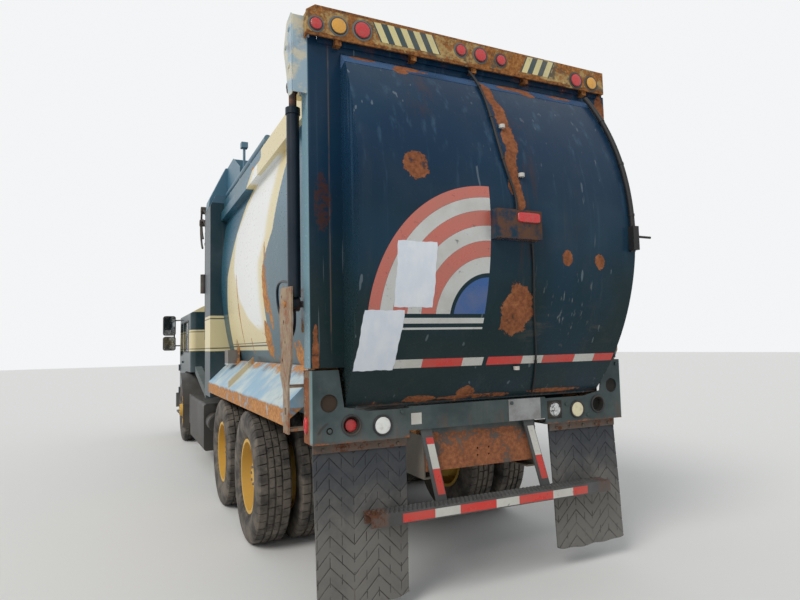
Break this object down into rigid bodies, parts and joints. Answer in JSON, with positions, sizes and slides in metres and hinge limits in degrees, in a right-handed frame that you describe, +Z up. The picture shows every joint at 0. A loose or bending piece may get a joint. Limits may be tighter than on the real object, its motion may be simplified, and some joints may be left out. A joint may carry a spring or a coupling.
{
  "type": "side-loading garbage truck",
  "caption": "Side-loading garbage truck: barrel-sided body, bulged tailgate that swings up, low hopper, kerb-side lifting arm, domed low cab.",
  "frame": {"origin": "on the ground, at the middle of the box round the truck", "axes": "+X towards the cab, +Y to the truck's left, +Z up"},
  "size_m": [9.68, 2.79, 3.83],
  "materials": {
    "rail_paint": "satin chassis paint, dusty and rusting",
    "cast": "grimy cast iron",
    "body_paint": "dark teal enamel with cream bands, chalky, rust on edges",
    "cab_paint": "dark teal enamel, cream band and roof",
    "rusty_paint": "flaking pale paint over rust",
    "black_paint": "black enamel, worn",
    "chrome_rod": "hard chrome",
    "rim_paint": "amber yellow enamel, dusty",
    "tyre": "dusty rubber",
    "flap": "grooved rubber, dusty",
    "glass": "clear tinted glass",
    "lens": "moulded lens",
    "mirror_black": "black moulded housing",
    "interior": "grey vinyl and plastic",
    "tank_metal": "dull sheet metal",
    "hose_rubber": "black hose",
    "exhaust_steel": "heat-stained steel"
  },
  "bodies": {
    "chassis": {"frame_rails": "rail_paint", "front_axle": "cast", "front_springs": "cast", "driveline": "cast", "tandem_beams": "cast", "engine_block": "cast", "cab_shell": "cab_paint", "cab_glass": "glass", "cab_interior": "interior", "front_bumper": "black_paint", "headlamps": "lens", "mirrors": "mirror_black", "cab_guards": "black_paint", "body_shell": "body_paint", "body_front_frame": "body_paint", "roof_hood": "body_paint", "fender_shelves": "rusty_paint", "hopper": "body_paint", "arm_base": "rail_paint", "rear_panels": "body_paint", "rear_lamps": "lens", "rear_flaps": "flap", "step_bar": "rusty_paint", "side_tanks": "tank_metal", "exhaust_stack": "exhaust_steel", "valve_bank": "cast", "cross_members": "rail_paint", "lift_brackets": "rusty_paint"},
    "packer": {"packer_panel": "body_paint"},
    "knuckle_left": {"knuckle_left": "cast"},
    "knuckle_right": {"knuckle_right": "cast"},
    "wheel_front_left": {"tyre_front_left": "tyre", "rim_front_left": "rim_paint"},
    "wheel_front_right": {"tyre_front_right": "tyre", "rim_front_right": "rim_paint"},
    "wheels_fore_left": {"tyres_fore_left": "tyre", "rims_fore_left": "rim_paint"},
    "wheels_fore_right": {"tyres_fore_right": "tyre", "rims_fore_right": "rim_paint"},
    "wheels_aft_left": {"tyres_aft_left": "tyre", "rims_aft_left": "rim_paint"},
    "wheels_aft_right": {"tyres_aft_right": "tyre", "rims_aft_right": "rim_paint"},
    "door_left": {"door_left": "cab_paint", "door_glass_left": "glass"},
    "door_right": {"door_right": "cab_paint", "door_glass_right": "glass"},
    "tailgate": {"tailgate_frame": "body_paint", "tailgate_shell": "body_paint", "light_bar": "rusty_paint", "gate_lamps": "lens", "gate_hoses": "hose_rubber"},
    "lift_barrel_left": {"lift_barrel_left": "black_paint"},
    "lift_barrel_right": {"lift_barrel_right": "black_paint"},
    "lift_rod_left": {"lift_rod_left": "chrome_rod"},
    "lift_rod_right": {"lift_rod_right": "chrome_rod"},
    "arm_slide": {"arm_slide": "black_paint"},
    "arm_link": {"arm_link": "rusty_paint"},
    "finger_front": {"finger_front": "black_paint"},
    "finger_rear": {"finger_rear": "black_paint"}
  },
  "joints": [
    {"name": "steer_left", "type": "hinge", "parent": "chassis", "child": "knuckle_left", "pos_m": [3.49, 0.87, 0.527], "axis": [0, 0, 1], "range_deg": [-35, 35]},
    {"name": "spin_front_left", "type": "hinge", "parent": "knuckle_left", "child": "wheel_front_left", "pos_m": [3.49, 1.02, 0.527], "axis": [0, 1, 0], "continuous": true},
    {"name": "spin_fore_left", "type": "hinge", "parent": "chassis", "child": "wheels_fore_left", "pos_m": [-1.308, 0.918, 0.527], "axis": [0, 1, 0], "continuous": true},
    {"name": "spin_aft_left", "type": "hinge", "parent": "chassis", "child": "wheels_aft_left", "pos_m": [-2.641, 0.918, 0.527], "axis": [0, 1, 0], "continuous": true},
    {"name": "open_door_left", "type": "hinge", "parent": "chassis", "child": "door_left", "pos_m": [4.656, 1.103, 1.35], "axis": [0, 0, -1], "range_deg": [0, 70]},
    {"name": "steer_right", "type": "hinge", "parent": "chassis", "child": "knuckle_right", "pos_m": [3.49, -0.87, 0.527], "axis": [0, 0, 1], "range_deg": [-35, 35]},
    {"name": "spin_front_right", "type": "hinge", "parent": "knuckle_right", "child": "wheel_front_right", "pos_m": [3.49, -1.02, 0.527], "axis": [0, 1, 0], "continuous": true},
    {"name": "spin_fore_right", "type": "hinge", "parent": "chassis", "child": "wheels_fore_right", "pos_m": [-1.308, -0.918, 0.527], "axis": [0, 1, 0], "continuous": true},
    {"name": "spin_aft_right", "type": "hinge", "parent": "chassis", "child": "wheels_aft_right", "pos_m": [-2.641, -0.918, 0.527], "axis": [0, 1, 0], "continuous": true},
    {"name": "open_door_right", "type": "hinge", "parent": "chassis", "child": "door_right", "pos_m": [4.656, -1.103, 1.35], "axis": [0, 0, 1], "range_deg": [0, 70]},
    {"name": "open_tailgate", "type": "hinge", "parent": "chassis", "child": "tailgate", "pos_m": [-3.94, 0, 3.45], "axis": [0, 1, 0], "range_deg": [0, 80]},
    {"name": "tilt_barrel_left", "type": "hinge", "parent": "chassis", "child": "lift_barrel_left", "pos_m": [-4.16, 1.2, 1.83], "axis": [0, 1, 0], "range_deg": [-4, 1]},
    {"name": "extend_rod_left", "type": "slide", "parent": "lift_barrel_left", "child": "lift_rod_left", "axis": [0, 0, 1], "range_m": [0, 0.434]},
    {"name": "tilt_barrel_right", "type": "hinge", "parent": "chassis", "child": "lift_barrel_right", "pos_m": [-4.16, -1.2, 1.83], "axis": [0, 1, 0], "range_deg": [-4, 1]},
    {"name": "extend_rod_right", "type": "slide", "parent": "lift_barrel_right", "child": "lift_rod_right", "axis": [0, 0, 1], "range_m": [0, 0.434]},
    {"name": "push_packer", "type": "slide", "parent": "chassis", "child": "packer", "axis": [-1, 0, 0], "range_m": [0, 1.45]},
    {"name": "reach_arm", "type": "slide", "parent": "chassis", "child": "arm_slide", "axis": [0, -1, 0], "range_m": [0, 1.1]},
    {"name": "lift_arm", "type": "hinge", "parent": "arm_slide", "child": "arm_link", "pos_m": [1.19, -1.04, 1.75], "axis": [-1, 0, 0], "range_deg": [0, 170]},
    {"name": "close_finger_front", "type": "hinge", "parent": "arm_link", "child": "finger_front", "pos_m": [1.41, -1.25, 0.85], "axis": [0, 0, -1], "range_deg": [0, 85]},
    {"name": "close_finger_rear", "type": "hinge", "parent": "arm_link", "child": "finger_rear", "pos_m": [0.97, -1.25, 0.85], "axis": [0, 0, 1], "range_deg": [0, 85]}
  ],
  "couplings": [
    {"joint": "steer_right", "follows": "steer_left", "ratio": 1},
    {"joint": "close_finger_rear", "follows": "close_finger_front", "ratio": 1},
    {"joint": "tilt_barrel_left", "follows": "open_tailgate", "ratio": -0.045},
    {"joint": "extend_rod_left", "follows": "open_tailgate", "m_per_rad": 0.31011},
    {"joint": "tilt_barrel_right", "follows": "open_tailgate", "ratio": -0.045},
    {"joint": "extend_rod_right", "follows": "open_tailgate", "m_per_rad": 0.31011}
  ]
}
